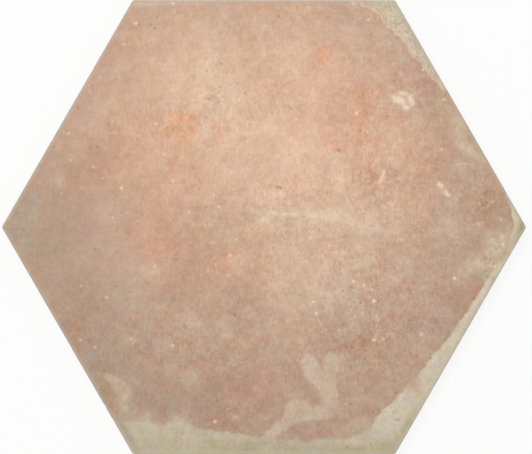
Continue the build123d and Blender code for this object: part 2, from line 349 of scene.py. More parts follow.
# %% [markdown]
# ## The walking face
# A face with real relief needs many small, even triangles. A hexagon splits into six triangles about its
# middle, and cutting every edge into the same number of pieces fills them with a regular net, which has
# no poles and no long slivers. So the face starts as a circle of six segments with a triangle fan.
# Two vectors are kept on each rim vertex: the point that it turns about and the way it faces. Rows that
# are extruded from the rim inherit them, so each row only has to say how far in and how low it lies.

# %% A net of even triangles
COLUMNS = 156        # along one side

mesh = bmesh.new()
face_half = HALF_WIDTH - ARRIS_RADIUS
bmesh.ops.create_circle(mesh, cap_ends=True, cap_tris=True, segments=6, radius=face_half * TO_REACH)
bmesh.ops.rotate(mesh, verts=mesh.verts, cent=(0, 0, 0), matrix=Matrix.Rotation(math.radians(30), 3, "Z"))
bmesh.ops.subdivide_edges(mesh, edges=mesh.edges, cuts=COLUMNS - 1, use_grid_fill=True)
bmesh.ops.translate(mesh, verts=mesh.verts, vec=(0, 0, THICKNESS))
print("face", len(mesh.verts), "vertices,", len(mesh.faces), "triangles")

# %% The rim's turning points
CORNER_STEPS = 2        # steps of the net over which half a corner turns

core_half = HALF_WIDTH - CORNER_RADIUS
turning_point = mesh.verts.layers.float_vector.new("turning_point")
facing = mesh.verts.layers.float_vector.new("facing")
rim = [edge for edge in mesh.edges if edge.is_boundary]
rim_vertices = {vertex for edge in rim for vertex in edge.verts}
pitch = 2 * face_half / math.sqrt(3) / COLUMNS


def facing_near(x, y):
    """The direction that the side nearest to a point faces."""
    number = round((math.degrees(math.atan2(y, x)) - 30) / 60) % 6
    angle = math.radians(30 + 60 * number)
    return Vector((math.cos(angle), math.sin(angle), 0))


for vertex in rim_vertices:
    outward = facing_near(vertex.co.x, vertex.co.y)
    along = Vector((-outward.y, outward.x, 0))
    offset = vertex.co.dot(along)
    steps_to_corner = round((face_half / math.sqrt(3) - abs(offset)) / pitch)
    core_offset = max(-core_half / math.sqrt(3), min(core_half / math.sqrt(3), offset))
    turn = 0.0
    if steps_to_corner <= CORNER_STEPS:
        core_offset = math.copysign(core_half / math.sqrt(3), offset)
        turn = math.copysign(math.radians(30 * (1 - steps_to_corner / CORNER_STEPS)), offset)
    vertex[turning_point] = (outward * core_half + along * core_offset) / core_half
    vertex[facing] = Matrix.Rotation(turn, 3, "Z") @ outward


def place_row(vertices, height, inset, radius):
    """Puts a row of rim vertices on the rounded hexagon with that inset and corner radius."""
    for vertex in vertices:
        middle = vertex[turning_point] * (HALF_WIDTH - inset - radius)
        vertex.co = middle + vertex[facing] * radius + Vector((0, 0, height))


place_row(rim_vertices, THICKNESS, ARRIS_RADIUS, CORNER_RADIUS - ARRIS_RADIUS)
print("rim", len(rim), "edges")

# %% [markdown]
# ## Arris, land and foot
# The side of a pressed tile has four parts: a rounded arris under the face, an upright land that meets
# the joint, a part that draws in so that the tile leaves the die, and a chamfered foot. Each row below
# is extruded from the one above, then set out at its own height and inset.

# %% Rows of the side
ARRIS_ROWS = 5
LAND_ROWS = 3
DRAFT_ROWS = 3
FOOT_ROWS = 2

rows = []
for step in range(1, ARRIS_ROWS + 1):
    angle = math.radians(90 * step / ARRIS_ROWS)
    inset = ARRIS_RADIUS * (1 - math.sin(angle))
    rows.append((THICKNESS - ARRIS_RADIUS * (1 - math.cos(angle)), inset, CORNER_RADIUS - inset))
for step in range(1, LAND_ROWS + 1):
    rows.append((THICKNESS - ARRIS_RADIUS - LAND_HEIGHT * step / LAND_ROWS, 0.0, CORNER_RADIUS))
for step in range(1, DRAFT_ROWS + 1):
    share = step / DRAFT_ROWS
    rows.append((BELOW_LAND + (FOOT_CHAMFER - BELOW_LAND) * share, SIDE_DRAFT * share, CORNER_RADIUS))
for step in range(1, FOOT_ROWS + 1):
    share = step / FOOT_ROWS
    rows.append((FOOT_CHAMFER * (1 - share), SIDE_DRAFT + FOOT_CHAMFER * share, CORNER_RADIUS))

for height, inset, radius in rows:
    made = bmesh.ops.extrude_edge_only(mesh, edges=rim)["geom"]
    rim = [item for item in made if isinstance(item, bmesh.types.BMEdge) and item.is_boundary]
    place_row([item for item in made if isinstance(item, bmesh.types.BMVert)], height, inset, radius)
print(len(rows), "rows down the side")

# %% [markdown]
# ## The honeycomb key on the back
# Adhesive grips a back that has relief. Here it is a honeycomb of shallow pockets with flat ribs between
# them. Each pocket starts as a six-sided face in the bed plane. One triangle fill joins all their mouths
# to the foot of the side, and one inset pushes all of them in at once and leans their walls.

# %% Pockets, ribs and rim of the bed face
pocket_reach = (KEY_PITCH - KEY_RIB) / 2 * TO_REACH
key_row = KEY_PITCH / TO_REACH
rings = int((HALF_WIDTH - KEY_RIM - pocket_reach) / key_row)
mouths = []
for column in range(-rings, rings + 1):
    for row in range(-rings, rings + 1):
        if abs(column + row) > rings:
            continue
        centre = Matrix.Translation((KEY_PITCH * (column + row / 2), key_row * row, 0))
        ring = bmesh.ops.create_circle(mesh, cap_ends=True, segments=6, radius=pocket_reach, matrix=centre)
        mouths.append(ring["verts"][0].link_faces[0])
bmesh.ops.reverse_faces(mesh, faces=[mouth for mouth in mouths if mouth.normal.z > 0])
mouth_edges = [edge for mouth in mouths for edge in mouth.edges]
bmesh.ops.triangle_fill(mesh, use_beauty=True, edges=rim + mouth_edges, normal=(0, 0, -1))
bmesh.ops.inset_individual(mesh, faces=mouths, thickness=KEY_LEAN, depth=-KEY_DEPTH, use_even_offset=True)
floor_edges = [edge for mouth in mouths for edge in mouth.edges]
print(len(mouths), "pockets")

# %% [markdown]
# No edge of a pressed pocket is sharp. One bevel in two steps rounds all the mouths and floors, and the
# count of open edges shows that the mesh is closed.

# %% Soft edges of the pockets
POCKET_EDGE = 0.22        # millimetres
bmesh.ops.bevel(
    mesh, geom=mouth_edges + floor_edges, offset=POCKET_EDGE, offset_type="OFFSET", segments=2,
    profile=0.5, affect="EDGES", material=-1, clamp_overlap=True,
)
bmesh.ops.recalc_face_normals(mesh, faces=mesh.faces)
print("open edges", sum(not edge.is_manifold for edge in mesh.edges))
print("triangles", sum(len(face.verts) - 2 for face in mesh.faces))

# %% [markdown]
# ## Measuring the marks
# Relief and colour both need to know, for each vertex, how deep inside a worn area it lies or how near
# to a grain. For an outline that is the distance to its nearest edge, counted positive inside. For a
# blob it is a bell curve. The vertices go through in one array, because numbers in bulk are quick.

# %% Distances and soft weights
OUTLINE_CUTS = 2        # times that the corners of a drawn outline are cut

places = np.array([vertex.co for vertex in mesh.verts])
flat = places[:, :2]        # a view of the same numbers, so a change to it moves the places


def rounded(outline):
    """An outline with its corners cut off in turn, which makes a soft closed curve."""
    points = np.array(outline, float)
    for _ in range(OUTLINE_CUTS):
        after = np.roll(points, -1, axis=0)
        points = np.stack([0.75 * points + 0.25 * after, 0.25 * points + 0.75 * after], 1).reshape(-1, 2)
    return points


def to_stroke(points, start, end):
    """Distance from each point to the straight stroke between two ends."""
    start = np.array(start, float)
    run = np.array(end, float) - start
    share = np.clip(((points - start) @ run) / max(run @ run, 1e-9), 0, 1)
    return np.linalg.norm(points - start - share[:, None] * run, axis=1)


def inside_by(points, outline):
    """Millimetres that each point lies inside a closed outline, negative outside."""
    corners = rounded(outline)
    distance = np.full(len(points), 1e9)
    inside = np.zeros(len(points), bool)
    for start, end in zip(corners, np.roll(corners, -1, axis=0)):
        distance = np.minimum(distance, to_stroke(points, start, end))
        spans = (start[1] > points[:, 1]) != (end[1] > points[:, 1])
        slope = (end[0] - start[0]) / (end[1] - start[1] if end[1] != start[1] else 1e-9)
        inside ^= spans & (points[:, 0] < start[0] + (points[:, 1] - start[1]) * slope)
    return np.where(inside, distance, -distance)


def blobs(points, zones):
    """The sum of bell-shaped zones at each point."""
    total = np.zeros(len(points))
    for x, y, along, across, turn, strength in zones:
        angle = math.radians(turn)
        away = points - np.array([x, y])
        forward = (away[:, 0] * math.cos(angle) + away[:, 1] * math.sin(angle)) / along
        sideways = (away[:, 1] * math.cos(angle) - away[:, 0] * math.sin(angle)) / across
        total += strength * np.exp(-(forward ** 2 + sideways ** 2))
    return total


def ripple(points, size, seed):
    """Smooth random waves of one size, from about -1 to 1."""
    shift = Vector((seed * 17.3, seed * 5.1, seed * 11.7))
    return np.array([noise.noise(Vector((x / size, y / size, 0)) + shift) for x, y in points])


def within_marks(points, dots, strokes):
    """Millimetres that each point lies inside the nearest dot or stroke, negative outside."""
    nearest = np.full(len(points), -1e9)
    for x, y, radius in dots:
        nearest = np.maximum(nearest, radius - np.linalg.norm(points - np.array([x, y]), axis=1))
    for x, y, end_x, end_y, radius in strokes:
        nearest = np.maximum(nearest, radius - to_stroke(points, (x, y), (end_x, end_y)))
    return nearest


# %% [markdown]
# A grain can be smaller than the net's triangles, and would then fall between its vertices. So the
# nearest vertex is first slid onto the middle of each grain and pore. The slide is little more than half
# of a triangle's side at most, and the net takes it without a fold.

# %% Vertices slid onto the small marks
LONGEST_SLIDE = 0.6        # of a triangle's side

mesh.verts.index_update()
top_vertices = [vertex for vertex in mesh.verts if vertex.co.z > THICKNESS - 0.01]
top_numbers = np.array([vertex.index for vertex in top_vertices if vertex not in rim_vertices])
taken = set()
for x, y, radius in PALE_GRAINS + DARK_PORES:
    away = np.linalg.norm(flat[top_numbers] - np.array([x, y]), axis=1)
    nearest = int(top_numbers[away.argmin()])
    if away.min() < LONGEST_SLIDE * pitch and nearest not in taken:
        taken.add(nearest)
        flat[nearest] = (x, y)
print(len(taken), "vertices moved onto marks")

# %% Fields on the face
side_facings = []
for degrees in range(30, 390, 60):
    side_facings.append(Vector((math.cos(math.radians(degrees)), math.sin(math.radians(degrees)))))
from_side = HALF_WIDTH - np.max([flat @ np.array(direction) for direction in side_facings], axis=0)
worn = np.maximum(inside_by(flat, TOP_RIGHT_MARGIN), inside_by(flat, LOWER_RIGHT_MARGIN))
lime = np.maximum(inside_by(flat, LIME_SMEAR), inside_by(flat, LEFT_SMEAR))
fields = {name: blobs(flat, zones) for name, zones in SOFT_ZONES.items()}
fields["worn"] = worn
fields["lime"] = lime
fields["chalk"] = within_marks(flat, [], CHALK_STROKES)
fields["grain"] = within_marks(flat, PALE_GRAINS, PALE_DASHES)
fields["pore"] = within_marks(flat, DARK_PORES, DARK_CRACKS)
fields["from_side"] = from_side
for name, values in fields.items():
    print(name, round(float(values.min()), 2), round(float(values.max()), 2))

# %% [markdown]
# ## Relief
# The face of such a tile isn't flat: it swells a little over a hand's width, has fine ripples, drops
# where the skin has worn off, and rises where a film of lime dried on it. Grains stand proud by a few
# hundredths of a millimetre, and pores are pits. The relief fades out down the land, so that the
# lower part of the side stays as straight as the die. All heights are in millimetres.

# %% Heights of the face


def smooth_step(values, low, high):
    """Rises from 0 to 1 between two values, without a kink at either end."""
    share = np.clip((values - low) / (high - low), 0, 1)
    return share * share * (3 - 2 * share)


SWELL = 0.1
RIPPLE = 0.035
GRIT = 0.018
LIME_HEIGHT = 0.09
GRAIN_HEIGHT = 0.05
PORE_DEPTH = 0.22

edge_wander = 0.7 * ripple(flat, 5.0, 1) + 0.35 * ripple(flat, 2.0, 2)
worn_share = smooth_step((worn + edge_wander) / (1 + np.clip(fields["feathered"], 0, 3)), -0.5, 1.0)
lime_share = smooth_step(lime + edge_wander, -0.6, 1.2)
relief = SWELL * (ripple(flat, 70.0, 3) - 0.6)
relief += RIPPLE * ripple(flat, 16.0, 4) + GRIT * ripple(flat, 2.6, 5)
relief -= (WORN_DEPTH - 0.05 * ripple(flat, 3.0, 6) - 0.08 * ripple(flat, 9.0, 7)) * worn_share
relief += LIME_HEIGHT * lime_share * (1 + 0.5 * ripple(flat, 4.0, 8))
relief += GRAIN_HEIGHT * smooth_step(np.maximum(fields["grain"], fields["chalk"]), -0.3, 0.3)
relief -= PORE_DEPTH * smooth_step(fields["pore"], -0.3, 0.2)
fade = np.clip((places[:, 2] - BELOW_LAND) / LAND_HEIGHT, 0, 1)
places[:, 2] += relief * fade
print("relief from", round(float(relief.min()), 3), "to", round(float(relief.max()), 3), "mm")

# %% [markdown]
# Years of handling have nibbled the arris. A fine ripple takes a little all along it, and the crests of a
# second one, where they pass a threshold, become chips. Both pull the surface in and down, and only near
# the top edge of the sides.

# %% Nibbled arris
NIBBLE = 0.05            # millimetres
CHIP_DEPTH = 0.55
CHIP_DROP = 0.8          # how far a chip goes down against how far it goes in

outward = places[:, :2] / np.maximum(np.linalg.norm(places[:, :2], axis=1), 1e-6)[:, None]
nibble = NIBBLE * np.abs(ripple(flat, 2.2, 9)) + CHIP_DEPTH * smooth_step(ripple(flat, 3.4, 10), 0.42, 0.8)
nibble *= smooth_step(-from_side, -2.2, -0.6) * smooth_step(places[:, 2], THICKNESS - 2.6, THICKNESS - 1.0)
places[:, :2] -= outward * nibble[:, None]
places[:, 2] -= CHIP_DROP * nibble
for vertex, place in zip(mesh.verts, places):
    vertex.co = place * MM
print("deepest chip", round(float(nibble.max()), 2), "mm")

# %% [markdown]
# ## One named piece
# The finished mesh becomes one object, which stands for the measured node. Its faces are sorted onto
# three finishes by height and direction: the face, the pressed sides and the bed. Sharp edges near the bed
# keep their shading, and all others are shaded smooth. The measured distances go with the piece as
# attributes, which the finishes read.

# %% The tile's object
FACE, SIDE, BACK = 0, 1, 2
FACE_ENDS = 1.2          # millimetres below the top
LOW_EDGE = 2.0           # millimetres above the bed
SHARP = 30               # degrees between two faces that meet in an edge

mesh.normal_update()
for face in mesh.faces:
    middle = face.calc_center_median()
    face.smooth = True
    if middle.z > (THICKNESS - FACE_ENDS) * MM:
        face.material_index = FACE
    elif middle.z > 1.5 * KEY_DEPTH * MM or abs(face.normal.z) < 0.3:
        face.material_index = SIDE
    else:
        face.material_index = BACK
for edge in mesh.edges:
    low = edge.verts[0].co.z < LOW_EDGE * MM
    if low and edge.is_manifold and edge.calc_face_angle() > math.radians(SHARP):
        edge.smooth = False
tile_mesh = bpy.data.meshes.new("fired_tile")
mesh.to_mesh(tile_mesh)
mesh.free()
for name, values in fields.items():
    attribute = tile_mesh.attributes.new(name, "FLOAT", "POINT")
    attribute.data.foreach_set("value", values.astype(np.float32))
tile = bpy.data.objects.new("fired_tile", tile_mesh)
bpy.context.scene.collection.objects.link(tile)
print("tile piece", len(tile_mesh.vertices), "vertices")

# %% [markdown]
# ## Short ways to write a shader
# A clay surface is many thin effects on top of each other, so its node tree is long. These helpers keep
# each effect to a line or two. A value that is fed to a socket may be another node's output or a plain
# number or colour. Colours are written as they look on a screen, from 0 to 255, and changed to the
# linear light that Blender works in.

# %% Shader helpers


def linear(level):
    """A level on a screen, from 0 to 255, as linear light."""
    share = level / 255
    return share / 12.92 if share <= 0.04045 else ((share + 0.055) / 1.055) ** 2.4


def paint(red, green, blue):
    """A screen colour as linear light, with full cover."""
    return linear(red), linear(green), linear(blue), 1.0


class Tree:
    """A node tree with short calls for the nodes that clay needs."""

    def __init__(self, tree):
        self.tree = tree

    def feed(self, socket, value):
        """Links another node's output to a socket, or sets the socket to a plain value."""
        if isinstance(value, bpy.types.NodeSocket):
            self.tree.links.new(value, socket)
        else:
            socket.default_value = value

    def node(self, kind, **settings):
        made = self.tree.nodes.new(kind)
        for name, value in settings.items():
            setattr(made, name, value)
        return made

    def math(self, operation, first, second, clamp=False):
        made = self.node("ShaderNodeMath", operation=operation, use_clamp=clamp)
        self.feed(made.inputs[0], first)
        self.feed(made.inputs[1], second)
        return made.outputs[0]

    def fold(self, operation, values):
        """Joins several values by one operation, two at a time."""
        total = values[0]
        for value in values[1:]:
            total = self.math(operation, total, value)
        return total

    def sum(self, *values):
        return self.fold("ADD", values)

    def product(self, *values):
        return self.fold("MULTIPLY", values)

    def vector(self, operation, first, second):
        made = self.node("ShaderNodeVectorMath", operation=operation)
        self.feed(made.inputs[0], first)
        self.feed(made.inputs[1], second)
        return made.outputs[0]

    def millimetres(self):
        """The place on the piece, in millimetres."""
        at = self.node("ShaderNodeTexCoord").outputs["Object"]
        return self.vector("MULTIPLY", at, (1 / MM, 1 / MM, 1 / MM))

    def along(self, axis, at):
        """One coordinate of a place."""
        made = self.node("ShaderNodeSeparateXYZ")
        self.feed(made.inputs[0], at)
        return made.outputs[axis]

    def field(self, name):
        """A measured distance or weight that the mesh carries."""
        return self.node("ShaderNodeAttribute", attribute_name=name).outputs["Fac"]

    def one_over(self, size):
        """A texture's scale for a size, which may be a number or another node's output."""
        return self.math("DIVIDE", 1.0, size) if isinstance(size, bpy.types.NodeSocket) else 1 / size

    def noise(self, at, size, detail=2.0, roughness=0.5, shift=None):
        """Noise from 0 to 1, with waves of about this many millimetres. A shift gives another pattern."""
        made = self.node("ShaderNodeTexNoise")
        self.feed(made.inputs["Vector"], self.vector("ADD", at, shift) if shift else at)
        self.feed(made.inputs["Scale"], self.one_over(size))
        self.feed(made.inputs["Detail"], detail)
        self.feed(made.inputs["Roughness"], roughness)
        return made.outputs["Fac"]

    def cells(self, at, size):
        """Voronoi cells so many millimetres apart: the distance to the middle, and a random colour."""
        made = self.node("ShaderNodeTexVoronoi")
        self.feed(made.inputs["Vector"], at)
        self.feed(made.inputs["Scale"], self.one_over(size))
        return made.outputs["Distance"], made.outputs["Color"]

    def between(self, value, low, high, to_low=0.0, to_high=1.0, smooth=False):
        """A value carried from one range over to another, and held at its ends."""
        made = self.node("ShaderNodeMapRange", interpolation_type="SMOOTHSTEP" if smooth else "LINEAR")
        for name, number in (
            ("Value", value), ("From Min", low), ("From Max", high), ("To Min", to_low), ("To Max", to_high),
        ):
            self.feed(made.inputs[name], number)
        return made.outputs["Result"]

    def swing(self, value, reach, tail=0.25):
        """Noise as a value that swings by about this much to either side of zero."""
        return self.between(value, tail, 1 - tail, -reach, reach)

    def mix(self, share, first, second):
        made = self.node("ShaderNodeMix", data_type="RGBA", clamp_factor=True)
        self.feed(made.inputs["Factor"], share)
        self.feed(made.inputs["A"], first)
        self.feed(made.inputs["B"], second)
        return made.outputs["Result"]

    def mix_shaders(self, share, first, second):
        made = self.node("ShaderNodeMixShader")
        self.feed(made.inputs["Fac"], share)
        self.feed(made.inputs[1], first)
        self.feed(made.inputs[2], second)
        return made.outputs[0]

    def group(self, group, **inputs):
        made = self.node("ShaderNodeGroup", node_tree=group)
        for name, value in inputs.items():
            self.feed(made.inputs[name.replace("_", " ")], value)
        return made.outputs


def new_group(name, inputs, outputs):
    """An empty node group with named sockets, its tree, and the sockets of its input and output nodes."""
    group = bpy.data.node_groups.new(name, "ShaderNodeTree")
    for socket, kind, value in inputs:
        made = group.interface.new_socket(socket, in_out="INPUT", socket_type=kind)
        if value is not None:
            made.default_value = value
    for socket, kind in outputs:
        group.interface.new_socket(socket, in_out="OUTPUT", socket_type=kind)
    tree = Tree(group)
    entry = tree.node("NodeGroupInput")
    leave = tree.node("NodeGroupOutput")
    return group, tree, entry.outputs, leave.inputs


print("screen grey 128 is", round(linear(128), 3), "in linear light")

# %% [markdown]
# ## Colour of fired clay
# A potter would describe a clay colour by how light it is, how far it leans to red, and how far to
# yellow, and each of these changes on its own from place to place. So the colour is put together from
# three numbers in the steps of a screen, from 0 to 255: the mean level, how far red lies over green, and
# how far green lies over blue. The last node changes the result to linear light.

# %% Clay colour group
FLOAT = "NodeSocketFloat"
VECTOR = "NodeSocketVector"
COLOUR = "NodeSocketColor"
FULL_LEVEL = 255.0
SCREEN_GAMMA = 2.2

clay_colour, tree, given, out = new_group(
    "Clay colour",
    [("Lightness", FLOAT, 160.0), ("Warmth", FLOAT, 30.0), ("Yellow", FLOAT, 22.0)],
    [("Colour", COLOUR)],
)
lean = tree.math("DIVIDE", tree.math("SUBTRACT", given["Warmth"], given["Yellow"]), 3.0)
green = tree.math("SUBTRACT", given["Lightness"], lean)
red = tree.sum(green, given["Warmth"])
blue = tree.math("SUBTRACT", green, given["Yellow"])
joined = tree.node("ShaderNodeCombineColor")
for socket, level in zip(joined.inputs, (red, green, blue)):
    tree.feed(socket, tree.math("DIVIDE", level, FULL_LEVEL, clamp=True))
to_light = tree.node("ShaderNodeGamma")
tree.feed(to_light.inputs["Color"], joined.outputs[0])
tree.feed(to_light.inputs["Gamma"], SCREEN_GAMMA)
tree.feed(out["Colour"], to_light.outputs[0])
print("group", clay_colour.name)

# %% [markdown]
# ## Grain of pressed clay
# Pressed powder fires to a body with grain at every scale, from faint clouds down to single sand grains.
# Three noises of different size give it. The middle one is drawn out a little along Y, the way that the
# powder was spread. The same group serves the skin, the worn body, the sides and the back.

# %% Clay grain group
DRAWN_OUT = (1.0, 0.5, 1.0)
SAND_TO_GRAIN = 0.4        # size of the sand against that of the grain

clay_grain, tree, given, out = new_group(
    "Clay grain",
    [("Place", VECTOR, None), ("Cloud size", FLOAT, 9.0), ("Grain size", FLOAT, 1.3)],
    [("Clouds", FLOAT), ("Grain", FLOAT), ("Sand", FLOAT)],
)
place = given["Place"]
drawn_out = tree.vector("MULTIPLY", place, DRAWN_OUT)
sand_size = tree.product(given["Grain size"], SAND_TO_GRAIN)
tree.feed(out["Clouds"], tree.noise(place, given["Cloud size"], detail=3.0, roughness=0.6))
tree.feed(out["Grain"], tree.noise(drawn_out, given["Grain size"], roughness=0.65))
tree.feed(out["Sand"], tree.noise(place, sand_size, detail=1.0, roughness=0.6))
print("group", clay_grain.name)

# %% [markdown]
# ## Specks in the clay
# Crushed grog and burnt-out specks lie at random. Voronoi cells place one in each cell, and the random
# colour of a cell decides whether it has one at all and how large it is. The distance is shaken by
# noise, so that no speck is a clean disc. Two calls of the group give pale grains and dark pores, and a
# third gives the black specks of the sandy body.

# %% Specks group
specks, tree, given, out = new_group(
    "Specks",
    [("Place", VECTOR, None), ("Spacing", FLOAT, 4.0), ("Radius", FLOAT, 0.5), ("Share", FLOAT, 0.3)],
    [("Specks", FLOAT), ("Strength", FLOAT)],
)
distance, random = tree.cells(given["Place"], given["Spacing"])
chance = tree.node("ShaderNodeSeparateColor")
tree.feed(chance.inputs[0], random)
there = tree.math("LESS_THAN", chance.outputs[0], given["Share"])
reach = tree.product(given["Radius"], tree.between(chance.outputs[1], 0.0, 1.0, 0.45, 1.25))
in_millimetres = tree.product(distance, given["Spacing"])
shaken = tree.sum(in_millimetres, tree.swing(tree.noise(given["Place"], 0.9), 0.2, tail=0.3))
edge = tree.math("DIVIDE", shaken, reach)
tree.feed(out["Specks"], tree.product(there, tree.between(edge, 1.25, 0.7, smooth=True)))
tree.feed(out["Strength"], tree.between(chance.outputs[2], 0.0, 1.0, 0.35, 1.0))
print("group", specks.name)

# %% [markdown]
# ## The sandy body
# Under the red skin the body is a pale sandy buff. It shows on the worn margins, down the sides and on
# the back, so its colour and height are one group: clouds from greenish buff to rosy, sand, and small
# dark specks. Stain darkens it. Where it is coarse, as on the upper margin, it also has darker crumbs
# and grains of a stronger yellow.

# %% Sandy body group
BUFF_LIGHTNESS = 183.0
BUFF_WARMTH = 13.5
BUFF_YELLOW = 23.0
BODY_SPECK = paint(142, 124, 98)

sandy_body, tree, given, out = new_group(
    "Sandy body",
    [
        ("Place", VECTOR, None), ("Stain", FLOAT, 0.0), ("Warmth", FLOAT, 0.0), ("Yellow", FLOAT, 0.0),
        ("Coarse", FLOAT, 1.0),
    ],
    [("Colour", COLOUR), ("Height", FLOAT)],
)
place = given["Place"]
grainy = tree.group(clay_grain, Place=place, Cloud_size=7.0, Grain_size=1.7)
sand = tree.sum(tree.swing(grainy["Grain"], 13.0), tree.swing(grainy["Sand"], 10.0))
gritty = tree.between(given["Coarse"], 1.0, 1.3)
crumbs = tree.between(tree.noise(place, 1.5, detail=1.0), 0.42, 0.62, 0.0, 14.0)
crumbs = tree.product(crumbs, gritty)
yolk = tree.noise(place, 1.9, detail=1.0, shift=(11.0, 5.0, 0.0))
yolk = tree.product(tree.swing(yolk, 5.0), gritty)
rosy = tree.noise(place, 5.0, detail=1.0, shift=(90.0, 40.0, 0.0))
mossy = tree.noise(place, 6.0, shift=(30.0, 170.0, 0.0))
lightness = tree.sum(BUFF_LIGHTNESS, tree.swing(grainy["Clouds"], 8.0), tree.product(sand, given["Coarse"]))
lightness = tree.math("SUBTRACT", lightness, tree.sum(given["Stain"], crumbs))
warmth = tree.sum(
    BUFF_WARMTH, given["Warmth"], tree.swing(rosy, 5.0), tree.product(given["Stain"], 0.1),
    tree.product(gritty, 3.5),
)
yellow = tree.sum(
    BUFF_YELLOW, given["Yellow"], tree.swing(mossy, 5.0), tree.swing(rosy, -3.0),
    tree.product(crumbs, -0.3), yolk, tree.product(gritty, 3.5),
)
buff = tree.group(clay_colour, Lightness=lightness, Warmth=warmth, Yellow=yellow)["Colour"]
black = tree.group(specks, Place=place, Spacing=3.1, Radius=0.42, Share=0.22)
tree.feed(out["Colour"], tree.mix(tree.product(black["Specks"], black["Strength"]), buff, BODY_SPECK))
height = tree.sum(
    tree.between(grainy["Grain"], 0.3, 0.7), tree.between(grainy["Sand"], 0.3, 0.7, 0.0, 0.6),
)
tree.feed(out["Height"], tree.math("SUBTRACT", height, black["Specks"]))
print("group", sandy_body.name)

# %% [markdown]
# ## Finish of the walking face
# The skin's lightness, warmth and yellow each start from a plain number. The soft zones move them over a
# hand's width, and noises of several sizes over the last millimetres. A light mottle leans to grey and a
# dark one to red, as in iron clay. Specks, lime, worn margins and dust follow, and roughness and bump use
# the same masks.

# %% Helpers for a clay finish
MARK_WANDER = 1.1        # millimetres that the edge of a worn area strays from its outline
CLAY_SHINE = 0.35


def clay_material(name):
    """A material with its tree, its place in millimetres and its Principled shader."""
    material = bpy.data.materials.new(name)
    material.use_nodes = True
    tree = Tree(material.node_tree)
    shader = material.node_tree.nodes["Principled BSDF"]
    return material, tree, tree.millimetres(), shader


def finish_surface(tree, shader, colour, roughness, height, depth):
    """Feeds colour, roughness and a bump of the height, whose full range is so many millimetres deep."""
    bump = tree.node("ShaderNodeBump")
    bump.inputs["Distance"].default_value = depth * MM
    bump.inputs["Strength"].default_value = 1.0
    tree.feed(bump.inputs["Height"], height)
    tree.feed(shader.inputs["Base Color"], colour)
    tree.feed(shader.inputs["Roughness"], roughness)
    tree.feed(shader.inputs["Normal"], bump.outputs["Normal"])
    shader.inputs["Specular IOR Level"].default_value = CLAY_SHINE


print("a worn edge strays by up to", MARK_WANDER, "mm")

# %% Colour of the skin
SKIN_LIGHTNESS = 149.5
SKIN_WARMTH = 31.0
SKIN_YELLOW = 21.5
LIGHT_STEP = 32.0        # lightness for a light zone of strength 1
EVEN_BUSY = 0.66         # how busy the face is away from the busy zones

face_material, tree, place, shader = clay_material("fired_skin")
grainy = tree.group(clay_grain, Place=place, Cloud_size=11.0, Grain_size=1.4)
light = tree.field("light")
warm = tree.field("warmth")
straw = tree.field("straw")
busy = tree.sum(EVEN_BUSY, tree.field("busy"))
slow = tree.noise(place, 34.0)
medium = tree.noise(place, 4.2, roughness=0.6)
mottle = tree.product(tree.sum(tree.swing(grainy["Clouds"], 9.5), tree.swing(medium, 9.5)), busy)
mottle = tree.sum(tree.swing(slow, 7.0), mottle)
grit = tree.product(tree.sum(tree.swing(grainy["Grain"], 10.5), tree.swing(grainy["Sand"], 6.0)), busy)
lightness = tree.sum(SKIN_LIGHTNESS, tree.product(light, LIGHT_STEP), mottle, grit)
slow_turn = tree.noise(place, 24.0, detail=3.0, roughness=0.6)
fine_turn = tree.noise(place, 6.0, shift=(60.0, 0.0, 0.0))
pink = tree.noise(place, 2.6, detail=1.0, shift=(140.0, 20.0, 0.0))
warmth = tree.sum(
    SKIN_WARMTH, tree.product(light, 7.0), warm, tree.swing(slow_turn, 4.5), tree.swing(fine_turn, 4.2),
    tree.swing(pink, 2.4), tree.product(mottle, -0.3),
)
blush = tree.math("MAXIMUM", warm, 0.0)
golden = tree.noise(place, 15.0, detail=3.0, shift=(200.0, 0.0, 0.0))
ochre = tree.noise(place, 3.2, detail=1.0, shift=(20.0, 150.0, 0.0))
yellow = tree.sum(
    SKIN_YELLOW, tree.product(light, 6.0), tree.product(blush, 0.42), straw, tree.swing(golden, 3.5),
    tree.swing(ochre, 2.8),
)
skin = tree.group(clay_colour, Lightness=lightness, Warmth=warmth, Yellow=yellow)["Colour"]
print("skin colour from", len(face_material.node_tree.nodes), "nodes")

# %% [markdown]
# Then come blooms of lime, scuffs, and the thousands of grains and pores that aren't listed one by one.
# Scuffs, grains and pores are stronger where the face is busy, and each bloom is broken up by noise, so
# that no soft zone shows its bell shape.

# %% Blooms, scuffs, grains and pores
BLOOM_COLOUR = paint(226, 207, 179)
SCUFF_COLOUR = paint(233, 212, 186)
BURN_COLOUR = paint(158, 122, 98)
PALE_SPECK = paint(236, 212, 184)
DARK_SPECK = paint(142, 110, 88)

bloom_noise = tree.between(tree.noise(place, 3.0, detail=3.0, roughness=0.7), 0.35, 0.65, 0.4, 1.3)
bloom = tree.math("MULTIPLY", tree.field("bloom"), bloom_noise, clamp=True)
skin = tree.mix(bloom, skin, BLOOM_COLOUR)
flecks = tree.noise(place, 1.9, detail=3.0, roughness=0.65)
where_scuffed = tree.between(tree.noise(place, 13.0), 0.4, 0.65, 0.15, 1.0)
where_scuffed = tree.product(where_scuffed, busy, busy)
scuffs = tree.product(tree.between(flecks, 0.57, 0.7, 0.0, 0.32), where_scuffed)
skin = tree.mix(scuffs, skin, SCUFF_COLOUR)
burns = tree.product(tree.between(flecks, 0.42, 0.28, 0.0, 0.3), where_scuffed)
skin = tree.mix(burns, skin, BURN_COLOUR)
pale = tree.group(specks, Place=place, Spacing=4.2, Radius=0.65, Share=0.34)
pale_cover = tree.product(pale["Specks"], tree.between(pale["Strength"], 0.35, 1.0, 0.08, 0.5), busy)
skin = tree.mix(pale_cover, skin, PALE_SPECK)
elsewhere = tree.vector("ADD", place, (31.0, 17.0, 0.0))
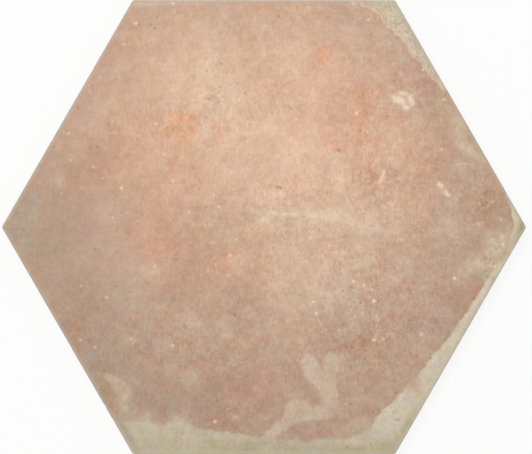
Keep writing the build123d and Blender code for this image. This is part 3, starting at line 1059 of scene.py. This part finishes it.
dark = tree.group(specks, Place=elsewhere, Spacing=4.0, Radius=0.6, Share=0.3)
dark_cover = tree.product(dark["Specks"], tree.between(dark["Strength"], 0.35, 1.0, 0.05, 0.4), busy)
skin = tree.mix(dark_cover, skin, DARK_SPECK)
print("with grains and pores", len(face_material.node_tree.nodes), "nodes")

# %% [markdown]
# A worn area's distance strays by noise before it becomes a mask, and is divided by a softness that grows
# where the skin was feathered away. The mask swaps the skin for the sandy body, which is coarser towards
# the top of the picture. Along the upper margin the skin thins to a cream lip first, and in a few soft
# patches the body shows through it.

# %% Worn margins
LIP_COLOUR = paint(231, 207, 181)

up_the_face = tree.along("Y", place)
wander = tree.swing(tree.noise(place, 5.0, detail=4.0, roughness=0.7), MARK_WANDER, tail=0.3)
softness = tree.between(tree.field("feathered"), 0.0, 3.0, 0.5, 6.5)
worn_edge = tree.sum(tree.field("worn"), wander)
worn_reach = tree.math("DIVIDE", worn_edge, softness)
worn_mask = tree.between(worn_reach, -0.5, 0.9, smooth=True)
worn_mask = tree.product(worn_mask, tree.between(tree.field("skin_left"), 0.0, 1.0, 1.0, 0.1))
upper = tree.between(up_the_face, 30.0, 70.0)
lip = tree.product(tree.between(worn_edge, -1.2, -0.3, smooth=True), upper, 0.5)
skin = tree.mix(lip, skin, LIP_COLOUR)
body = tree.group(
    sandy_body, Place=place, Stain=tree.field("stain"), Warmth=tree.product(warm, 0.7), Yellow=straw,
    Coarse=tree.between(up_the_face, -100.0, 70.0, 0.55, 1.3),
)
patchy = tree.between(tree.noise(place, 2.8, detail=3.0, roughness=0.65), 0.38, 0.6, 0.35, 1.1)
thin = tree.math("MULTIPLY", tree.field("thin"), patchy, clamp=True)
skin = tree.mix(tree.product(thin, 0.9), skin, body["Colour"])
print("with worn margins", len(face_material.node_tree.nodes), "nodes")

# %% [markdown]
# The film of lime lies over the skin and ends at the worn margins, thicker in some patches than in
# others. Away from the bottom of the tile, the body just inside a margin has a fresh pale line, where
# the skin came off last. Chalk strokes and the listed grains and pores lie on top of both. A pale band
# fades in at the arris: dust from handling, and painted light that hides the shade on the rounded arris.
# Each mark's edge is shaken by a fine noise.

# %% Lime, fresh line, marks, and dust with painted light at the arris
LIME_SHADE = paint(195, 176, 153)
LIME_LIGHT = paint(212, 193, 170)
FRESH_COLOUR = paint(218, 200, 170)
CHALK_COLOUR = paint(240, 219, 194)
GRAIN_COLOUR = paint(240, 213, 186)
PORE_COLOUR = paint(136, 106, 88)
# The two arris colours are dust from handling, kept pale as painted light against the arris's shade.
SKIN_DUST_AND_PAINTED_LIGHT = paint(188, 174, 156)
BODY_DUST_AND_PAINTED_LIGHT = paint(190, 183, 166)

lime_wander = tree.swing(tree.noise(place, 4.0, detail=4.0, roughness=0.75), 0.9, tail=0.3)
lime_mask = tree.between(tree.sum(tree.field("lime"), lime_wander), -0.9, 1.2, smooth=True)
lime_patches = tree.between(tree.noise(place, 7.0, detail=4.0), 0.3, 0.7, 0.2, 0.6)
lime_cover = tree.math("MULTIPLY", lime_mask, tree.sum(lime_patches, tree.field("thick")), clamp=True)
lime_colour = tree.mix(tree.between(grainy["Grain"], 0.3, 0.7), LIME_SHADE, LIME_LIGHT)
skin = tree.mix(lime_cover, skin, lime_colour)
fresh = tree.product(tree.between(worn_reach, 0.0, 1.6), tree.between(worn_reach, 6.8, 3.2))
fresh = tree.product(fresh, tree.between(up_the_face, -95.0, -60.0, 0.0, 0.42), patchy)
surface = tree.mix(worn_mask, skin, tree.mix(fresh, body["Colour"], FRESH_COLOUR))
shake = tree.swing(tree.noise(place, 1.1, detail=1.0), 0.3, tail=0.3)
for name, outer, inner, cover, colour in (
    ("chalk", -1.5, 1.0, 0.8, CHALK_COLOUR),
    ("grain", -0.7, 1.0, 0.8, GRAIN_COLOUR),
    ("pore", -0.6, 0.8, 0.55, PORE_COLOUR),
):
    mask = tree.between(tree.sum(tree.field(name), shake), outer, inner, smooth=True)
    surface = tree.mix(tree.product(mask, cover), surface, colour)
# A pale band at the arris: dust, and painted light that hides the shade on the rounded arris.
arris_dust_and_painted_light = tree.between(tree.sum(tree.field("from_side"), shake), 2.6, 0.4, 0.0, 0.6, smooth=True)
surface = tree.mix(arris_dust_and_painted_light, surface, tree.mix(worn_mask, SKIN_DUST_AND_PAINTED_LIGHT, BODY_DUST_AND_PAINTED_LIGHT))
print("with lime and marks", len(face_material.node_tree.nodes), "nodes")

# %% [markdown]
# The same noises and masks drive the light on the face. Grain and sand raise it by less than the mesh
# could carry, the worn body adds its own height, dark pores are pits and pale specks stand up a little.
# Fired clay is matt, and the bared body is more so than the skin.

# %% Roughness and relief of the face
FACE_BUMP = 0.12        # millimetres

height = tree.sum(
    tree.product(grainy["Grain"], 0.8), tree.product(grainy["Sand"], 0.5),
    tree.product(worn_mask, body["Height"]), tree.product(dark["Specks"], -1.2),
    tree.product(pale["Specks"], 0.3),
)
roughness = tree.between(grainy["Clouds"], 0.3, 0.7, 0.58, 0.7)
roughness = tree.sum(roughness, tree.product(worn_mask, 0.2))
finish_surface(tree, shader, surface, roughness, height, FACE_BUMP)
print("material", face_material.name, len(face_material.node_tree.nodes), "nodes")

# %% [markdown]
# ## Finish of the pressed sides
# The steel die drags the clay as the tile is pushed out, which leaves faint upright lines. Skin colour
# has run a little over the arris and fades down the side, and kiln dust lies on the foot.

# %% Side material
DRAGGED = (1.0, 1.0, 0.08)        # noise drawn out along Z
SIDE_STAIN = 6.0
SIDE_BUMP = 0.1                   # millimetres
RUN_COLOUR = paint(192, 158, 136)
DRAG_COLOUR = paint(168, 148, 122)
KILN_DUST = paint(216, 208, 194)

side_material, tree, place, shader = clay_material("pressed_side")
body = tree.group(sandy_body, Place=place, Stain=SIDE_STAIN)
dragged = tree.noise(tree.vector("MULTIPLY", place, DRAGGED), 1.2, roughness=0.6)
run_down = tree.sum(tree.along("Z", place), tree.swing(tree.noise(place, 5.0, detail=3.0), 1.8, tail=0.3))
skin_share = tree.between(run_down, THICKNESS - 3.6, THICKNESS - 0.6, smooth=True)
skin_share = tree.product(skin_share, tree.between(tree.field("worn"), 1.0, -1.5, 0.1, 0.8))
surface = tree.mix(skin_share, body["Colour"], RUN_COLOUR)
surface = tree.mix(tree.between(dragged, 0.35, 0.7, 0.0, 0.3), surface, DRAG_COLOUR)
foot_dust = tree.between(run_down, 2.6, 0.2, 0.0, 0.6, smooth=True)
surface = tree.mix(foot_dust, surface, KILN_DUST)
roughness = tree.between(dragged, 0.3, 0.7, 0.72, 0.88)
finish_surface(tree, shader, surface, roughness, tree.sum(body["Height"], dragged), SIDE_BUMP)
print("material", side_material.name)

# %% [markdown]
# ## Finish of the back
# The back lies on the kiln's rollers under a wash of white powder, which keeps it from sticking. The
# powder stays on the flat ribs and rim, is rubbed thin in bands where the rollers turned, and leaves the
# pockets bare.

# %% Back material
ROLLED = (0.05, 1.0, 1.0)        # noise drawn out along X
BACK_STAIN = 4.0
BACK_BUMP = 0.12                 # millimetres
BARE_CLAY = paint(190, 158, 134)
WASH_COLOUR = paint(226, 221, 210)

back_material, tree, place, shader = clay_material("kiln_washed_back")
body = tree.group(sandy_body, Place=place, Stain=BACK_STAIN)
on_ribs = tree.between(tree.along("Z", place), KEY_DEPTH / 2, 0.05, smooth=True)
patchy = tree.between(tree.noise(place, 12.0, detail=5.0, roughness=0.7), 0.35, 0.6, 0.15, 0.9)
rolled = tree.noise(tree.vector("MULTIPLY", place, ROLLED), 14.0)
wash = tree.product(on_ribs, patchy, tree.between(rolled, 0.4, 0.62, 0.4, 1.0))
clay = tree.mix(0.35, body["Colour"], BARE_CLAY)
surface = tree.mix(wash, clay, WASH_COLOUR)
height = tree.sum(body["Height"], tree.product(wash, 0.4))
finish_surface(tree, shader, surface, tree.between(wash, 0.0, 1.0, 0.8, 0.92), height, BACK_BUMP)
print("material", back_material.name)

# %% [markdown]
# The finishes go onto the piece in the order of the numbers that its faces were given. The piece then
# rides on the only body and stands for the measured solid, whose own node takes a plain finish.

# %% The piece takes its finishes
for material in (face_material, side_material, back_material):
    tile_mesh.materials.append(material)
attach(tile, "root")
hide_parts("hexagon_tile")
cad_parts["hexagon_tile"].data.materials.clear()
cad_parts["hexagon_tile"].data.materials.append(back_material)
print("finishes on the piece", len(tile_mesh.materials))

# %% [markdown]
# ## Floor
# The floor is plain and pale. It shows almost white to the camera and keeps a soft shadow, which a share
# of glow for camera rays gives without more light on the tile. From below it is see-through and has a
# window under the tile, so that the back can be seen and gets light. A square and a hexagon, joined by
# one triangle fill, make the floor with its window.

# %% Floor
FLOOR_SIZE = 4.0
FLOOR_GLOW = 0.86
FLOOR_GAP = 0.1           # millimetres, because the tile stands on a few high points
WINDOW_INSET = 2.3        # millimetres from the tile's sides, just inside its foot chamfer
FLOOR_COLOUR = paint(236, 236, 236)

plane = bmesh.new()
level = Matrix.Translation((0, 0, -FLOOR_GAP * MM))
turned = level @ Matrix.Rotation(math.radians(30), 4, "Z")
window = (HALF_WIDTH - WINDOW_INSET) * TO_REACH * MM
bmesh.ops.create_circle(plane, segments=4, radius=FLOOR_SIZE / math.sqrt(2), matrix=level)
bmesh.ops.create_circle(plane, segments=6, radius=window, matrix=turned)
bmesh.ops.triangle_fill(plane, use_beauty=True, edges=plane.edges, normal=(0, 0, 1))
print("floor faces up", min(face.normal.z for face in plane.faces) > 0)
floor_mesh = bpy.data.meshes.new("floor")
plane.to_mesh(floor_mesh)
plane.free()
floor = bpy.data.objects.new("floor", floor_mesh)
bpy.context.scene.collection.objects.link(floor)

# %% Floor material
floor_material = bpy.data.materials.new("pale_floor")
floor_material.use_nodes = True
tree = Tree(floor_material.node_tree)
shader = floor_material.node_tree.nodes["Principled BSDF"]
shader.inputs["Base Color"].default_value = FLOOR_COLOUR
shader.inputs["Roughness"].default_value = 0.9
shader.inputs["Specular IOR Level"].default_value = 0.1
rays = tree.node("ShaderNodeLightPath").outputs
seen = tree.math("MAXIMUM", rays["Is Camera Ray"], rays["Is Glossy Ray"])
seen = tree.math("MAXIMUM", seen, rays["Is Transmission Ray"])
glow = tree.node("ShaderNodeEmission").outputs[0]
upper_side = tree.mix_shaders(tree.product(seen, FLOOR_GLOW), shader.outputs[0], glow)
from_below = tree.node("ShaderNodeNewGeometry").outputs["Backfacing"]
see_through = tree.node("ShaderNodeBsdfTransparent").outputs[0]
one_way = tree.mix_shaders(from_below, upper_side, see_through)
tree.feed(floor_material.node_tree.nodes["Material Output"].inputs["Surface"], one_way)
floor_mesh.materials.append(floor_material)
print("floor", FLOOR_SIZE, "m wide")

# %% [markdown]
# ## Light
# Even light from a pale sky and one large lamp, at a level at which clay renders in the colour that it is
# given, shows relief without glare. The camera sees the sky as white, so only a share of it is light.

# %% Sky and lamp
SKY_STRENGTH = 0.655
SKY_SEEN = 1.0
LAMP_POWER = 21.0
LAMP_SIZE = 1.2
LAMP_PLACE = (-0.6, 0.8, 1.9)

world = bpy.data.worlds.new("studio")
bpy.context.scene.world = world
world.use_nodes = True
tree = Tree(world.node_tree)
background = world.node_tree.nodes["Background"]
is_camera = tree.node("ShaderNodeLightPath").outputs["Is Camera Ray"]
tree.feed(background.inputs["Strength"], tree.between(is_camera, 0.0, 1.0, SKY_STRENGTH, SKY_SEEN))
background.inputs["Color"].default_value = (1, 1, 1, 1)
lamp_data = bpy.data.lights.new("soft_lamp", "AREA")
lamp_data.energy = LAMP_POWER
lamp_data.size = LAMP_SIZE
lamp = bpy.data.objects.new("soft_lamp", lamp_data)
lamp.location = LAMP_PLACE
lamp.rotation_euler = (-Vector(LAMP_PLACE)).to_track_quat("-Z", "Y").to_euler()
bpy.context.scene.collection.objects.link(lamp)
bpy.context.scene.view_settings.view_transform = "Standard"
print("lamp", LAMP_POWER, "W")
